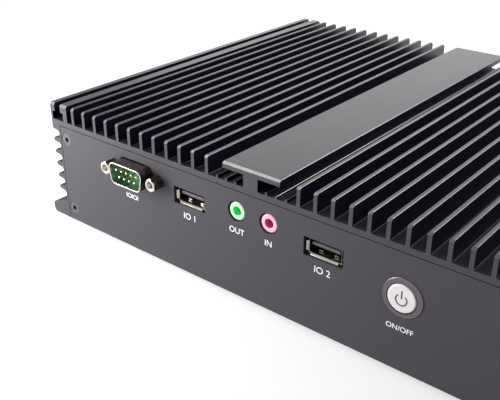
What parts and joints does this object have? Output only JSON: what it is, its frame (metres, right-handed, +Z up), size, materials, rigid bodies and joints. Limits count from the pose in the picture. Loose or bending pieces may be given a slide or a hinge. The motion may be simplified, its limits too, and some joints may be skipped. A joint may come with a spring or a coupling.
{
  "type": "fanless box computer",
  "caption": "Fanless box computer in a finned black aluminium housing, with flush end panels, serial, data and sound ports, a sprung round power button and rubber feet.",
  "frame": {"origin": "middle of the footprint, on the surface that the rubber feet stand on", "axes": "+X to the right as seen from the front, +Y from the front panel to the rear panel, +Z up"},
  "size_m": [0.2264, 0.1938, 0.0559],
  "materials": {
    "black_anodised": "black anodised, satin",
    "panel_black": "fine-grained satin black",
    "nickel": "bright nickel plating",
    "screw_steel": "blackened steel",
    "gold_contact": "thin gold plating",
    "green_insulator": "moulded",
    "blue_insulator": "moulded",
    "dark_plastic": "moulded",
    "green_jack": "moulded",
    "pink_jack": "moulded",
    "bezel_black": "satin black",
    "cap_white": "satin white",
    "foot_rubber": "matt",
    "board_green": "solder mask",
    "bare_aluminium": "milled",
    "brass_post": "turned",
    "pad_grey": "soft pad",
    "cell_steel": "plain",
    "cover_black": "satin black"
  },
  "bodies": {
    "case": {"audio_jack": "green_jack", "board_screws": "screw_steel", "board_standoffs": "brass_post", "bottom_cover": "cover_black", "bottom_cover_screws": "screw_steel", "cell_holder": "dark_plastic", "coin_cell": "cell_steel", "drive_screws": "screw_steel", "front_panel": "panel_black", "front_panel_screws": "screw_steel", "heat_block": "bare_aluminium", "housing": "black_anodised", "left_data_port_contacts": "gold_contact", "left_data_port_shell": "nickel", "left_data_port_tongue": "dark_plastic", "main_board": "board_green", "memory_module": "board_green", "memory_socket": "dark_plastic", "mic_jack": "pink_jack", "monitor_port_insert": "blue_insulator", "monitor_port_shell": "nickel", "network_port_contacts": "gold_contact", "network_port_insert": "dark_plastic", "network_port_shell": "nickel", "power_bezel": "bezel_black", "power_inlet": "dark_plastic", "power_inlet_pin": "nickel", "power_nut": "nickel", "power_switch": "dark_plastic", "power_terminals": "gold_contact", "processor": "dark_plastic", "rear_data_port_1_contacts": "gold_contact", "rear_data_port_1_shell": "nickel", "rear_data_port_1_tongue": "dark_plastic", "rear_data_port_2_contacts": "gold_contact", "rear_data_port_2_shell": "nickel", "rear_data_port_2_tongue": "dark_plastic", "rear_jackscrews": "nickel", "rear_panel": "panel_black", "rear_panel_screws": "screw_steel", "rear_serial_port_1_insert": "green_insulator", "rear_serial_port_1_pins": "gold_contact", "rear_serial_port_1_shell": "nickel", "rear_serial_port_2_insert": "green_insulator", "rear_serial_port_2_pins": "gold_contact", "rear_serial_port_2_shell": "nickel", "right_data_port_contacts": "gold_contact", "right_data_port_shell": "nickel", "right_data_port_tongue": "dark_plastic", "rubber_foot_1": "foot_rubber", "rubber_foot_2": "foot_rubber", "rubber_foot_3": "foot_rubber", "rubber_foot_4": "foot_rubber", "serial_port_insert": "green_insulator", "serial_port_jackscrews": "nickel", "serial_port_pins": "gold_contact", "serial_port_shell": "nickel", "storage_drive": "bare_aluminium", "thermal_pad": "pad_grey"},
    "button": {"power_cap": "cap_white"}
  },
  "joints": [
    {"name": "button_press", "type": "slide", "parent": "case", "child": "button", "axis": [0, 1, 0], "range_m": [0, 0.0012], "stiffness_N_per_m": 1500}
  ]
}
